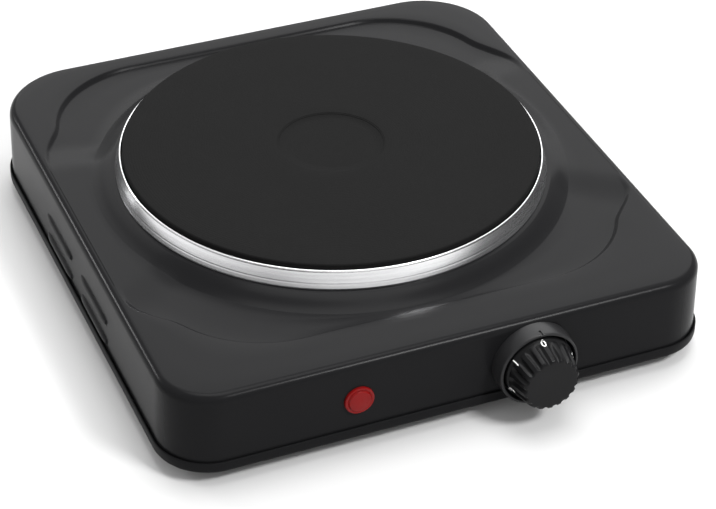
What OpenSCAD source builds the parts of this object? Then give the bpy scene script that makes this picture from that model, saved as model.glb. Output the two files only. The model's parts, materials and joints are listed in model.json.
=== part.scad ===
// Single electric hot plate: a cast-iron plate in a pressed-steel housing,
// switched by a rotary thermostat in the front wall.
// The origin is on the surface that the rubber feet stand on, in the middle
// of the whole outline. The knob faces -Y.

/* [Housing] */
// Width over the base tray's rim
body_w = 246; // [238:1:300]
// Depth over the base tray's rim
body_d = 262; // [252:1:320]
// Height of the housing's flat top above the rim's lower edge
body_h = 38; // [34:0.5:50]
// Thickness of the housing's sheet steel
sheet_t = 0.8; // [0.6:0.1:1.2]
// Radius of the two front corners
front_corner_r = 24; // [16:1:34]
// Radius of the two back corners
back_corner_r = 36; // [20:1:44]
// Radius of the edge between the top and the walls
edge_r = 4; // [2:0.5:6]
// How far each side wall leans in from bottom to top
side_lean = 0.8; // [0:0.1:2]
// Depth of the step pressed into the top
step_drop = 2; // [1:0.1:3]
// Height of the raised collar that carries the plate, above the flat top
collar_rise = 2.4; // [1.6:0.1:5]

/* [Base tray] */
// Height of the tray's upstanding lip
tray_lip = 5.5; // [4:0.5:9]
// Thickness of the tray's sheet steel
tray_t = 0.8; // [0.6:0.1:1.2]
// Gap between the lip and the housing wall inside it
seam_gap = 0.3; // [0.2:0.05:0.6]
// Height of the rubber feet below the rim
foot_h = 6; // [4:0.5:12]
// Radius of each rubber foot
foot_r = 8; // [6:0.5:10]

/* [Hot plate] */
// Diameter of the cast-iron plate
plate_dia = 185; // [145:1:190]
// Distance of the plate's middle behind the body's middle
plate_y = 5; // [0:0.5:7]
// Height of the plate's top above the collar
plate_rise = 10.7; // [9:0.1:14]
// Thickness of the plate's disc
plate_t = 9; // [7:0.5:10]
// Diameter of the shallow recess in the middle of the plate
recess_dia = 48; // [30:1:60]
// Depth of that recess
recess_depth = 0.6; // [0.3:0.1:1.2]
// Height of the plate's dark edge that shows above the trim ring
plate_lip = 2.1; // [1:0.1:4]

/* [Knob and bezel] */
// Distance of the knob to the right of the middle
knob_x = 34.8; // [20:0.5:60]
// Height of the knob's axis above the rim's lower edge
knob_z = 18.3; // [16:0.5:24]
// Radius of the bezel ring
bezel_r = 18; // [16:0.5:20]
// How far the bezel ring stands out of the front wall
bezel_depth = 8; // [6:0.5:10]
// Radius of the knob's skirt
knob_skirt_r = 15.4; // [13:0.1:17]
// Radius of the knob's grip at the front
knob_grip_r = 12.6; // [10:0.1:14]
// How far the knob's face stands out of the front wall
knob_reach = 19.5; // [16:0.5:26]
// Number of flutes round the grip
flute_count = 18; // [12:1:24]

/* [Indicator lamp] */
// Distance of the lamp to the left of the middle
lamp_x = 42.5; // [30:0.5:70]
// Height of the lamp above the rim's lower edge
lamp_z = 19.5; // [14:0.5:24]
// Radius of the lens flange
lens_r = 6.5; // [5.5:0.1:8]

/* [Cord entry] */
// Distance of the cord gland from the middle, on the back wall
gland_x = 62; // [40:1:80]
// Radius of the gland's bore, for a round mains lead
gland_bore_r = 3.7; // [3:0.1:4.5]
// How far the gland stands out of the back wall
gland_reach = 6; // [4:0.5:10]

/* [Hidden] */
$fn = 64;
fit_gap = 0.1;        // clearance of fixed pieces in their holes
run_gap = 0.05;       // radial clearance of what turns or slides
near_gap = 0.3;       // gap between curved faces that must not touch
eps = 0.01;
deep = 60;            // longer than any hole is deep

// Heights above the surface that the feet stand on
rim_z = foot_h;
floor_z = rim_z + tray_t;
wall_z = floor_z + near_gap;
top_z = rim_z + body_h;
collar_z = top_z + collar_rise;
plate_z = collar_z + plate_rise;
roof_z = top_z - sheet_t;

// Plan of the housing wall
wall_inset = tray_t + seam_gap;
wall_hw = body_w / 2 - wall_inset;
wall_hd = body_d / 2 - wall_inset;
front_in = -wall_hd + sheet_t;
back_in = wall_hd - sheet_t;
front_r = front_corner_r - wall_inset;
back_r = back_corner_r - wall_inset;
top_hw = wall_hw - side_lean;

// The whole outline reaches from the knob's face to the gland's end
front_reach = wall_hd + knob_reach;
back_reach = wall_hd + gland_reach;
body_y = (front_reach - back_reach) / 2;

// Step pressed into the top: a flat border at the front and back,
// and a field that runs out level to the two sides
step_w = 2.2;                        // plan width of the slope
step_side = 15.9;                    // from the wall to the step beside the corners
step_corner_r = 50;
field_front = 4.6;                   // from the collar to the step at the front
field_back = 7.4;                    // and at the back
step_flare = step_side - side_lean - edge_r - 0.4;
flare_from = 25;                     // angles from the X axis between which the
flare_to = 39;                       // step's ends sweep outward
fade_from = 21;                      // and the step rises from nothing
fade_to = 33;

// The plate, the ring and the hole that they sit in
plate_r = plate_dia / 2;
skirt_w = 7.5;                       // thickness of the plate's rim wall
well_r = plate_r - 5;                // outside of the plate's rim wall
hole_r = well_r + 1;                 // opening in the housing
ring_t = 0.6;
ring_top_r = plate_r + near_gap + ring_t;
ring_base_r = ring_top_r + 2.6;
ring_seat_z = collar_z + ring_t;
collar_top_r = ring_base_r + 1.4;
collar_foot_r = collar_top_r + 9;
slab_z = plate_z - plate_t;          // underside of the plate's disc
well_z = collar_z - 12.3;            // lower edge of the plate's rim wall

// Heating element, cast-iron boss and stud
coil_side = 4;
coil_pitch = 15;
coil_out_r = well_r - skirt_w - 10;
coil_radii = [coil_out_r - 2 * coil_pitch, coil_out_r - coil_pitch, coil_out_r];
coil_open = 8;                       // half the angle left open between the ends
coil_z = slab_z - coil_side;
boss_r = 10;
boss_z = slab_z - 8;
stud_r = 3;
stud_thread = 6;                     // length screwed into the boss
cover_t = 0.8;
bridge_t = 2;
bridge_w = 20;
bridge_z = well_z - 6;
pad_l = 7;
washer_t = 1;
nut_t = 5;
stud_z = bridge_z - bridge_t - washer_t - nut_t - 1.5;
shield_z = floor_z + 5;
shield_r = well_r - 10.5;
shield_t = 0.6;
shield_rim = 3;
leg_r = shield_r - 12;
leg_w = 8;
block_w = 18;
block_l = 40;
block_h = 9;
block_y = -(coil_radii[0] + coil_radii[2]) / 2;
pin_r = 1.1;
cutout_x = 42;
cutout_y = -28;
cutout_r = 8;
cutout_h = 6;

// Thermostat
knob_h = rim_z + knob_z;
shaft_r = 3;
bush_r = 5;
bush_flange_r = 8;
bush_flange_t = 1.5;
bezel_back = 1.2;
bush_nut_t = 2.5;
bracket_t = 1.5;
bracket_h = 24;
bracket_x0 = knob_x - 16;
bracket_x1 = knob_x + 18;
guide_y = front_in + 18;             // front face of the plunger's guide plate
arm_y = guide_y + bracket_t + 5.5;   // middle of the contact arm at rest
arm_t = 0.5;
arm_h = 8;
pivot_x = knob_x - 11;
pivot_r = 1.2;
eye_r = 2.2;
ear_t = 2.6;
ear_gap = 0.4;
stack_x0 = bracket_x0 + bracket_t;
stack_h = arm_h + 2 * (ear_gap + ear_t);
rivet_r = 2;
contact_x = knob_x + 14;
insulator_t = 1.2;
fixed_rivet_t = 0.3;
arm_rivet_t = 0.5;
plunger_r = 2.5;
plunger_head_r = 4;
plunger_head_t = 1.5;
plunger_travel = 1.1;
shaft_in_y = front_in + bracket_t + bush_flange_t + run_gap + 4;
plunger_y = shaft_in_y + plunger_travel + near_gap;

// Knob
knob_back_y = -wall_hd - bezel_back - 1.2;
skirt_front_y = -wall_hd - bezel_depth - 0.8;
grip_back_r = knob_skirt_r - 0.9;
knob_face_y = -wall_hd - knob_reach;
knob_wall = 1.8;
hub_r = 5;
hub_back_y = -wall_hd - bezel_back - bush_nut_t - 1.2;
flat_depth = 1;                      // flat on the shaft and in the hub
shaft_end_y = knob_face_y + 4;

// Lamp
lamp_h = rim_z + lamp_z;
barrel_r = lens_r - 1.1;
barrel_l = 16;
lens_wall = 1;
lens_t = 1.2;
neon_r = 2.8;

// Gland and mains terminals at the back
gland_h = rim_z + 18;
gland_r = gland_bore_r + 2.6;
gland_flange_r = gland_r + 2.6;
gland_flange_t = 2;
gland_in = 9;                        // length inside the back wall
gland_nut_t = 4;
strip_x = 62;
strip_y = 84;
strip_l = 38;
strip_w = 18;
strip_h = 14;
way_pitch = 12;
earth_x = 96;
earth_y = 66;

// Corner posts, feet and their screws
post_side = 17.5;                    // from the wall to a post's middle, sideways
post_end = 18;                       // from the wall to a post's middle, endways
post_r = 4.5;
screw_r = 1.6;
screw_head_r = 3;
screw_head_t = 2;
screw_l = 16;
foot_sink = 2.6;                     // depth of the foot's counterbore
post_xy = [for (sx = [-1, 1], sy = [-1, 1])
    [sx * (wall_hw - post_side), sy * (wall_hd - post_end)]];

// Louvres: hooded slots, two rows of two in each side wall
louvre_l = 40;
louvre_pitch = 49.5;
louvre_y = -2;                       // middle of the pattern
louvre_rows = [rim_z + tray_lip + 3.3, rim_z + tray_lip + 13.5];
louvre_r = 3.2;
louvre_bulge = 1.2;

wire_r = 1.2;
wire_sides = 8;
wire_steps = 4;

// ---- plan curves -------------------------------------------------------

function smooth(a, b, x) =
    let (u = min(1, max(0, (x - a) / (b - a))))
    u * u * (3 - 2 * u);

// Angle from the X axis, 0 to 90, whatever the quadrant
function lean_of(t) = atan2(abs(sin(t)), abs(cos(t)));

// Distance from the middle to a rounded rectangle, in direction t
function rounded_reach(t, hw, hd, r) =
    let (c = abs(cos(t)), s = abs(sin(t)))
    (hw * s <= (hd - r) * c) ? hw / c
    : (hd * c <= (hw - r) * s) ? hd / s
    : let (along = (hw - r) * c + (hd - r) * s,
           across = (hw - r) * s - (hd - r) * c)
      along + sqrt(r * r - across * across);

function wall_reach(t, hw, hd, inset) =
    let (r = (sin(t) < 0 ? front_r : back_r) - inset)
    rounded_reach(t, hw - inset, hd - inset, r);

// The pressed step's outer line
function step_reach(t) =
    let (flare = step_flare * (1 - smooth(flare_from, flare_to, lean_of(t))),
         hd = collar_foot_r + (sin(t) < 0 ? field_front - plate_y : field_back + plate_y))
    rounded_reach(t, wall_hw - step_side + flare, hd, step_corner_r);

// Height of the sunk field in direction t: level with the top at the sides
function field_at(t) = top_z - step_drop * smooth(fade_from, fade_to, lean_of(t));

// Directions: close together round the corners
quadrant = concat([for (i = [0:8]) i * 4], [for (i = [0:15]) 36 + i * 1.5],
    [for (i = [0:7]) 60 + i * 3.75]);
half_turn = concat(quadrant, [90],
    [for (i = [len(quadrant) - 1:-1:1]) 180 - quadrant[i]]);
TURN = concat(half_turn, [for (a = half_turn) a + 180]);

function at(t, r, z) = [r * cos(t), r * sin(t), z];
function wall_loop(hw, hd, inset, z) =
    [for (t = TURN) at(t, wall_reach(t, hw, hd, inset), z)];
function plate_loop(r, z) = [for (t = TURN) at(t, r, z) + [0, plate_y, 0]];

// ---- helpers -----------------------------------------------------------

// Moves a piece from the body's own middle to the part's origin
module in_frame() {
    translate([0, body_y, 0]) children();
}

// The same, from the hot plate's own middle
module on_plate() {
    translate([0, body_y + plate_y, 0]) children();
}

module ring_y(r_out, r_in, y0, y1) {
    translate([0, y1, 0]) rotate([90, 0, 0]) difference() {
        cylinder(r = r_out, h = y1 - y0);
        translate([0, 0, -eps]) cylinder(r = r_in, h = y1 - y0 + 2 * eps);
    }
}

module rod_y(r, y0, y1) {
    translate([0, y1, 0]) rotate([90, 0, 0]) cylinder(r = r, h = y1 - y0);
}

module rod_z(r, z0, z1) {
    translate([0, 0, z0]) cylinder(r = r, h = z1 - z0);
}

module tube_z(r_out, r_in, z0, z1) {
    difference() {
        rod_z(r_out, z0, z1);
        rod_z(r_in, z0 - 1, z1 + 1);
    }
}

module block(x0, x1, y0, y1, z0, z1) {
    translate([x0, y0, z0]) cube([x1 - x0, y1 - y0, z1 - z0]);
}

// A closed skin through loops of equal length, first loop joined to the last
module closed_skin(loops) {
    n = len(loops[0]);
    m = len(loops);
    polyhedron(
        points = [for (l = loops) each l],
        faces = [for (j = [0:m - 1], i = [0:n - 1])
            let (a = j * n, b = ((j + 1) % m) * n, k = (i + 1) % n)
            each [[a + i, b + i, b + k], [a + i, b + k, a + k]]],
        convexity = 8);
}

// A wire swept along a smooth curve through hand-chosen points
function spline(p, i, u) =
    let (last = len(p) - 1,
         a = p[max(i - 1, 0)], b = p[i], c = p[i + 1], d = p[min(i + 2, last)])
    0.5 * (2 * b + (c - a) * u + (2 * a - 5 * b + 4 * c - d) * u * u
        + (3 * b - a - 3 * c + d) * u * u * u);
function route(p) = concat(
    [for (i = [0:len(p) - 2], k = [0:wire_steps - 1]) spline(p, i, k / wire_steps)],
    [p[len(p) - 1]]);
function unit(v) = v / norm(v);

module wire(points) {
    path = route(points);
    n = len(path);
    dirs = [for (i = [0:n - 1]) unit(path[min(i + 1, n - 1)] - path[max(i - 1, 0)])];
    rings = [for (i = [0:n - 1])
        let (side = unit(cross(dirs[i], [0.05, 0.09, 1])), up = cross(side, dirs[i]))
        [for (k = [0:wire_sides - 1])
            path[i] + wire_r * (cos(k * 360 / wire_sides) * side
                + sin(k * 360 / wire_sides) * up)]];
    faces = concat(
        [[for (k = [0:wire_sides - 1]) k]],
        [for (i = [0:n - 2], k = [0:wire_sides - 1])
            let (a = i * wire_sides, b = a + wire_sides, m = (k + 1) % wire_sides)
            each [[a + k, b + k, b + m], [a + k, b + m, a + m]]],
        [[for (k = [wire_sides - 1:-1:0]) (n - 1) * wire_sides + k]]);
    polyhedron(points = [for (r = rings) each r], faces = faces, convexity = 6);
}

// ---- housing and base --------------------------------------------------

// One surface of the pressed top, from the wall's foot in to the opening,
// set in from the outer surface by depth
function skin_loops(depth) =
    let (r = edge_r - depth, edge_steps = 3)
    concat(
        [wall_loop(wall_hw, wall_hd, depth, wall_z)],
        [for (k = [0:edge_steps])
            let (a = k * 90 / edge_steps)
            wall_loop(top_hw, wall_hd, depth + r * (1 - cos(a)),
                top_z - edge_r + r * sin(a))],
        [[for (t = TURN) at(t, step_reach(t), top_z - depth)]],
        [[for (t = TURN) at(t, step_reach(t) - step_w, field_at(t) - depth)]],
        [[for (t = TURN) at(t, collar_foot_r - depth / 2, field_at(t) - depth)
            + [0, plate_y, 0]]],
        [plate_loop(collar_top_r - depth / 2, collar_z - depth)],
        [plate_loop(hole_r, collar_z - depth)]);

function reversed(list) = [for (i = [len(list) - 1:-1:0]) list[i]];

// Sets its children at each louvre, with X pointing out of the wall
module at_louvres() {
    for (s = [0, 1], row = louvre_rows, k = [-0.5, 0.5])
        mirror([s, 0, 0])
            translate([wall_hw - side_lean * (row - wall_z) / (top_z - wall_z),
                louvre_y + k * louvre_pitch, row])
                children();
}

// The hood bulges out of the wall and is open along its lower half
module louvre_hood() {
    intersection() {
        translate([louvre_bulge - louvre_r, louvre_l / 2, 0]) rotate([90, 0, 0])
            cylinder(r = louvre_r, h = louvre_l);
        block(-sheet_t / 2, louvre_bulge, -louvre_l, louvre_l, -louvre_r, louvre_r);
    }
}

module louvre_opening() {
    slot_l = louvre_l - 2 * sheet_t;
    translate([louvre_bulge - louvre_r, slot_l / 2, 0]) rotate([90, 0, 0])
        cylinder(r = louvre_r - sheet_t, h = slot_l);
    block(0.1, 2 * louvre_bulge, -slot_l / 2, slot_l / 2, -louvre_r, 0);
}

module housing() {
    color([0.22, 0.22, 0.23]) in_frame() difference() {
        union() {
            closed_skin(concat(skin_loops(0), reversed(skin_loops(sheet_t))));
            at_louvres() louvre_hood();
        }
        at_louvres() louvre_opening();
        // Control shaft's bush
        translate([knob_x, 0, knob_h])
            rod_y(bush_r + fit_gap, -wall_hd - 2, front_in + 2);
        // Indicator lamp
        translate([-lamp_x, 0, lamp_h])
            rod_y(barrel_r + fit_gap, -wall_hd - 2, front_in + 2);
        // Cord gland
        translate([gland_x, 0, gland_h])
            rod_y(gland_r + fit_gap, back_in - 2, wall_hd + 2);
    }
}

module tray_plan(inset) {
    polygon([for (t = TURN)
        let (r = wall_reach(t, body_w / 2, body_d / 2, inset))
        [r * cos(t), r * sin(t)]]);
}

module vent_slot(l, w) {
    linear_extrude(height = 4 * tray_t, center = true) {
        square([l - w, w], center = true);
        for (s = [-1, 1]) translate([s * (l - w) / 2, 0]) circle(d = w);
    }
}

module base_tray() {
    vent_l = 34;
    vent_w = 4;
    vent_pitch = 10;
    vent_rows = 5;
    color([0.13, 0.13, 0.14]) in_frame() difference() {
        translate([0, 0, rim_z]) linear_extrude(height = tray_lip) tray_plan(0);
        translate([0, 0, floor_z]) linear_extrude(height = tray_lip) tray_plan(tray_t);
        for (p = post_xy) translate(p) rod_z(screw_r + fit_gap, 0, deep);
        for (s = [-1, 1], k = [0:vent_rows - 1])
            translate([s * 42, (k - (vent_rows - 1) / 2) * vent_pitch, rim_z])
                vent_slot(vent_l, vent_w);
    }
}

module rubber_feet() {
    dome = 1.2;
    color([0.08, 0.08, 0.08]) in_frame() for (p = post_xy) translate(p)
        rotate_extrude() polygon([
            [screw_head_r + fit_gap, 0], [foot_r - dome, 0], [foot_r, dome],
            [foot_r - 0.6, foot_h], [screw_r + fit_gap, foot_h],
            [screw_r + fit_gap, foot_sink], [screw_head_r + fit_gap, foot_sink]]);
}

module foot_screws() {
    recess = 1;
    color([0.65, 0.65, 0.67]) in_frame() for (p = post_xy) translate(p) difference() {
        union() {
            rod_z(screw_head_r, foot_sink - screw_head_t, foot_sink);
            rod_z(screw_r, foot_sink - eps, foot_sink + screw_l);
        }
        for (a = [0, 90]) rotate(a)
            translate([-2, -0.35, foot_sink - screw_head_t - eps])
                cube([4, 0.7, recess]);
    }
}

module corner_posts() {
    color([0.6, 0.6, 0.62]) in_frame() for (p = post_xy) translate(p) difference() {
        rod_z(post_r, floor_z, roof_z);
        rod_z(screw_r, floor_z - 1, foot_sink + screw_l + 2);
    }
}

// ---- hot plate ---------------------------------------------------------

module hot_plate() {
    edge = 0.8;
    recess_r = recess_dia / 2;
    color([0.17, 0.17, 0.17]) on_plate() difference() {
        rotate_extrude($fn = 128) polygon([
            [0, plate_z - recess_depth], [recess_r - 0.6, plate_z - recess_depth],
            [recess_r, plate_z], [plate_r - edge, plate_z],
            [plate_r - edge * 0.3, plate_z - edge * 0.3], [plate_r, plate_z - edge],
            [plate_r, ring_seat_z + 0.5], [plate_r - 0.5, ring_seat_z],
            [well_r, ring_seat_z], [well_r, well_z], [well_r - skirt_w, well_z],
            [well_r - skirt_w, slab_z], [boss_r, slab_z], [boss_r, boss_z],
            [0, boss_z]]);
        rod_z(stud_r, boss_z - 1, boss_z + stud_thread);
    }
}

module trim_ring() {
    top = plate_z - plate_lip;
    bead = 0.5;
    color([0.85, 0.85, 0.86]) on_plate() rotate_extrude($fn = 128) polygon([
        [well_r + near_gap, collar_z], [ring_base_r - 0.2, collar_z],
        [ring_base_r, collar_z + 0.3], [ring_base_r, collar_z + 1.6],
        [ring_top_r + bead, top - 0.6], [ring_top_r, top],
        [ring_top_r - ring_t, top], [ring_top_r - ring_t, top - 1],
        [ring_base_r - ring_t, collar_z + 1.5], [ring_base_r - ring_t, ring_seat_z],
        [well_r + near_gap, ring_seat_z]]);
}

// The wire coils' envelope: three open rings, joined end to end, and two pins
module element_solid(grow, pin_z) {
    half = coil_side / 2 + grow;
    for (r = coil_radii) rotate(coil_open - 90)
        rotate_extrude(angle = 360 - 2 * coil_open, $fn = 96)
            translate([r - half, coil_z - grow])
                square([2 * half, coil_side + 2 * grow]);
    for (k = [0, 1]) mirror([k, 0, 0]) rotate(-90 + coil_open + 2)
        translate([coil_radii[k] - half, -half, coil_z - grow])
            cube([coil_radii[k + 1] - coil_radii[k] + 2 * half, 2 * half,
                coil_side + 2 * grow]);
    for (k = [0, 1]) rotate(k == 0 ? -90 - coil_open - 2 : -90 + coil_open + 2)
        translate([coil_radii[2 * k], 0, 0])
            rod_z(pin_r + grow, pin_z, coil_z + 1);
}

module heating_element() {
    color([0.55, 0.5, 0.45]) on_plate() element_solid(0, well_z - block_h + 1);
}

module insulation() {
    gap = 0.2;
    color([0.9, 0.88, 0.82]) on_plate() difference() {
        tube_z(well_r - skirt_w - fit_gap, boss_r + fit_gap, well_z, slab_z);
        element_solid(gap, well_z - 2);
    }
}

module pin_holes(r, z0, z1) {
    for (k = [0, 1]) rotate(k == 0 ? -90 - coil_open - 2 : -90 + coil_open + 2)
        translate([coil_radii[2 * k], 0, 0]) rod_z(r, z0, z1);
}

module plate_cover() {
    cover_r = well_r - 1;
    color([0.7, 0.7, 0.71]) on_plate() difference() {
        rod_z(cover_r, well_z - cover_t, well_z);
        rod_z(stud_r + 0.5, 0, deep);
        pin_holes(pin_r + 1, well_z - 2, well_z + 1);
    }
}

module centre_stud() {
    color([0.72, 0.72, 0.73]) on_plate() rod_z(stud_r, stud_z, boss_z + stud_thread - 0.5);
}

module clamp_bridge() {
    leg_x = hole_r + 0.5;
    pad_top = collar_z - sheet_t;
    half = bridge_w / 2;
    color([0.68, 0.68, 0.7]) on_plate() difference() {
        union() {
            block(-leg_x - bridge_t, leg_x + bridge_t, -half, half,
                bridge_z - bridge_t, bridge_z);
            for (s = [0, 1]) mirror([s, 0, 0]) {
                block(leg_x, leg_x + bridge_t, -half, half,
                    bridge_z - bridge_t, pad_top);
                block(leg_x, leg_x + pad_l, -half, half, pad_top - bridge_t, pad_top);
            }
        }
        rod_z(stud_r + 0.3, 0, deep);
    }
}

module stud_washer() {
    z1 = bridge_z - bridge_t;
    color([0.75, 0.75, 0.76]) on_plate()
        tube_z(2.2 * stud_r, stud_r + fit_gap, z1 - washer_t, z1);
}

module hex_nut(r_flats, r_hole, z0, z1) {
    difference() {
        translate([0, 0, z0])
            cylinder(r = r_flats / cos(30), h = z1 - z0, $fn = 6);
        rod_z(r_hole, z0 - 1, z1 + 1);
    }
}

module stud_nut() {
    z1 = bridge_z - bridge_t - washer_t;
    color([0.75, 0.75, 0.76]) on_plate() hex_nut(5, stud_r, z1 - nut_t, z1);
}

leg_angles = [90, 210, 330];
tab_l = 9;

module heat_shield() {
    color([0.78, 0.78, 0.79]) on_plate() difference() {
        union() {
            rod_z(shield_r, shield_z, shield_z + shield_t);
            tube_z(shield_r, shield_r - shield_t, shield_z, shield_z + shield_rim);
            for (a = leg_angles) rotate(a) {
                block(leg_r, leg_r + 1, -leg_w / 2, leg_w / 2,
                    floor_z, shield_z + shield_t / 2);
                block(leg_r, leg_r + tab_l, -leg_w / 2, leg_w / 2,
                    floor_z, floor_z + shield_t);
            }
        }
        for (a = leg_angles) rotate(a) translate([leg_r + tab_l / 2 + 0.5, 0, 0])
            rod_z(screw_r, 0, floor_z + 3);
    }
}

module shield_rivets() {
    head = 0.8;
    color([0.7, 0.7, 0.7]) on_plate() for (a = leg_angles)
        rotate(a) translate([leg_r + tab_l / 2 + 0.5, 0, 0]) {
            rod_z(screw_r, floor_z, floor_z + shield_t + head);
            rod_z(screw_r + 1, floor_z + shield_t, floor_z + shield_t + head);
        }
}

module plate_terminals() {
    z1 = well_z - cover_t;
    color([0.92, 0.9, 0.85]) on_plate() difference() {
        block(-block_w / 2 - 5, block_w / 2 + 5, block_y - block_l / 2,
            block_y + block_l / 2, z1 - block_h, z1);
        pin_holes(pin_r + fit_gap, 0, deep);
    }
}

module thermal_cutout() {
    z1 = well_z - cover_t;
    color([0.8, 0.78, 0.7]) on_plate() translate([cutout_x, cutout_y, 0]) {
        rod_z(cutout_r, z1 - cutout_h, z1);
        for (s = [-1, 1]) block(s * 5 - 1.5, s * 5 + 1.5, -0.4, 0.4,
            z1 - cutout_h - 5, z1 - cutout_h + 1);
    }
}

// ---- thermostat --------------------------------------------------------

module thermostat_bracket() {
    z0 = knob_h - bracket_h / 2;
    z1 = knob_h + bracket_h / 2;
    side_end = arm_y + 5;
    color([0.7, 0.7, 0.72]) in_frame() difference() {
        union() {
            block(bracket_x0, bracket_x1, front_in, front_in + bracket_t, z0, z1);
            block(bracket_x0, stack_x0, front_in, side_end, z0, z1);
            block(bracket_x0, bracket_x1, guide_y, guide_y + bracket_t, z0, z1);
        }
        translate([knob_x, 0, knob_h]) {
            rod_y(bush_r + fit_gap, front_in - 1, front_in + bracket_t + 1);
            rod_y(plunger_r + run_gap, guide_y - 1, guide_y + bracket_t + 1);
        }
    }
}

module shaft_bush() {
    y1 = front_in + bracket_t;
    color([0.75, 0.62, 0.35]) in_frame() translate([knob_x, 0, knob_h]) difference() {
        union() {
            rod_y(bush_r, -wall_hd - bezel_back - bush_nut_t, y1 + eps);
            rod_y(bush_flange_r, y1, y1 + bush_flange_t);
        }
        rod_y(shaft_r + run_gap, -wall_hd - deep, y1 + deep);
    }
}

module bush_nut() {
    y1 = -wall_hd - bezel_back;
    color([0.75, 0.75, 0.76]) in_frame() translate([knob_x, y1, knob_h])
        rotate([90, 0, 0]) hex_nut(6.5, bush_r, 0, bush_nut_t - 0.3);
}

// A flat on the shaft's outer end keeps the knob from slipping
module shaft_flat(r) {
    translate([-deep, shaft_end_y - 1, r - flat_depth])
        cube([2 * deep, hub_back_y - shaft_end_y + 1.5, deep]);
}

module control_shaft() {
    collar_y = front_in + bracket_t + bush_flange_t + run_gap;
    color([0.72, 0.72, 0.74]) in_frame() translate([knob_x, 0, knob_h]) {
        difference() {
            rod_y(shaft_r, shaft_end_y, shaft_in_y);
            shaft_flat(shaft_r);
        }
        rod_y(shaft_r + 2, collar_y, collar_y + 1.5);
    }
}

module plunger() {
    tip_y = arm_y - arm_t / 2 - near_gap;
    color([0.93, 0.91, 0.86]) in_frame() translate([knob_x, 0, knob_h]) {
        rod_y(plunger_r, plunger_y, tip_y);
        rod_y(plunger_head_r, plunger_y, plunger_y + plunger_head_t);
    }
}

module contact_arm() {
    color([0.78, 0.52, 0.3]) in_frame() {
        translate([pivot_x, arm_y, 0])
            tube_z(eye_r, pivot_r + run_gap, knob_h - arm_h / 2, knob_h + arm_h / 2);
        block(pivot_x + pivot_r + 0.4, contact_x + rivet_r + 1, arm_y - arm_t / 2,
            arm_y + arm_t / 2, knob_h - arm_h / 2, knob_h + arm_h / 2);
        translate([contact_x, 0, knob_h])
            rod_y(rivet_r, arm_y - arm_t / 2 - arm_rivet_t, arm_y + arm_t / 2 + 0.4);
    }
}

module arm_pin() {
    color([0.72, 0.72, 0.74]) in_frame() translate([pivot_x, arm_y, 0])
        rod_z(pivot_r, knob_h - stack_h / 2, knob_h + stack_h / 2);
}

module ceramic_stack() {
    back_x = pivot_x - eye_r - ear_gap;
    color([0.93, 0.92, 0.88]) in_frame() difference() {
        union() {
            block(stack_x0, back_x, arm_y - 4, arm_y + 4,
                knob_h - stack_h / 2, knob_h + stack_h / 2);
            for (s = [-1, 1]) translate([0, 0, knob_h + s * (stack_h - ear_t) / 2])
                block(stack_x0, pivot_x + pivot_r + 1, arm_y - 3, arm_y + 3,
                    -ear_t / 2, ear_t / 2);
        }
        translate([pivot_x, arm_y, 0]) rod_z(pivot_r, 0, deep);
    }
}

module contact_insulator() {
    y0 = guide_y + bracket_t;
    color([0.93, 0.92, 0.88]) in_frame()
        block(contact_x - 5, bracket_x1, y0, y0 + insulator_t, knob_h - 5, knob_h + 5);
}

module fixed_contact() {
    y0 = guide_y + bracket_t + insulator_t;
    color([0.8, 0.65, 0.35]) in_frame() {
        block(contact_x - 4, bracket_x1 + 8, y0, y0 + arm_t, knob_h - 3, knob_h + 3);
        translate([contact_x, 0, knob_h])
            rod_y(rivet_r, y0 + arm_t - eps, y0 + arm_t + fixed_rivet_t);
    }
}

module bimetal_strip() {
    z0 = knob_h + stack_h / 2;
    color([0.7, 0.66, 0.6]) in_frame()
        block(stack_x0, stack_x0 + 8, arm_y - 4, arm_y + 24, z0, z0 + 1);
}

// ---- knob, bezel -------------------------------------------------------

module bezel_ring() {
    wall = 1.6;
    rim_round = 0.8;
    color([0.16, 0.16, 0.17]) in_frame() difference() {
        translate([knob_x, -wall_hd, knob_h]) rotate([90, 0, 0])
            rotate_extrude($fn = 96) polygon([
                [bush_r + fit_gap, 0], [bezel_r, 0],
                [bezel_r - 0.3, bezel_depth - rim_round],
                [bezel_r - 0.3 - rim_round, bezel_depth],
                [bezel_r - wall, bezel_depth], [bezel_r - wall, bezel_back],
                [bush_r + fit_gap, bezel_back]]);
        // Clear of the tray's lip
        block(-body_w, body_w, -body_d / 2 - 0.2, 0, 0, rim_z + tray_lip + 0.2);
    }
}

module knob_profile() {
    polygon([
        [hub_r, knob_face_y + knob_wall], [0, knob_face_y + knob_wall],
        [0, knob_face_y], [knob_grip_r - 1.2, knob_face_y],
        [knob_grip_r - 0.3, knob_face_y + 0.4], [knob_grip_r, knob_face_y + 1.3],
        [grip_back_r, skirt_front_y], [knob_skirt_r, skirt_front_y + 1.6],
        [knob_skirt_r, knob_back_y], [knob_skirt_r - knob_wall, knob_back_y],
        [knob_grip_r - knob_wall - 0.4, knob_face_y + knob_wall]]);
}

module knob() {
    flute_r = 1.5;
    flute_end = skirt_front_y - 0.6;
    color([0.11, 0.11, 0.12]) in_frame() translate([knob_x, 0, knob_h]) difference() {
        union() {
            rotate([-90, 0, 0]) rotate_extrude($fn = 96) knob_profile();
            rod_y(hub_r, knob_face_y + 1, hub_back_y);
        }
        difference() {
            rod_y(shaft_r, shaft_end_y, hub_back_y + 1);
            shaft_flat(shaft_r);
        }
        for (i = [0:flute_count - 1]) rotate([0, i * 360 / flute_count, 0])
            translate([0, 0, knob_grip_r + flute_r - 0.5])
                rod_y(flute_r, knob_face_y - 1, flute_end);
    }
}

module knob_clip() {
    color([0.7, 0.7, 0.72]) in_frame() translate([knob_x, 0, knob_h])
        ring_y(hub_r + 0.9, hub_r, hub_back_y - 4, hub_back_y - 1);
}

// ---- indicator lamp ----------------------------------------------------

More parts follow.
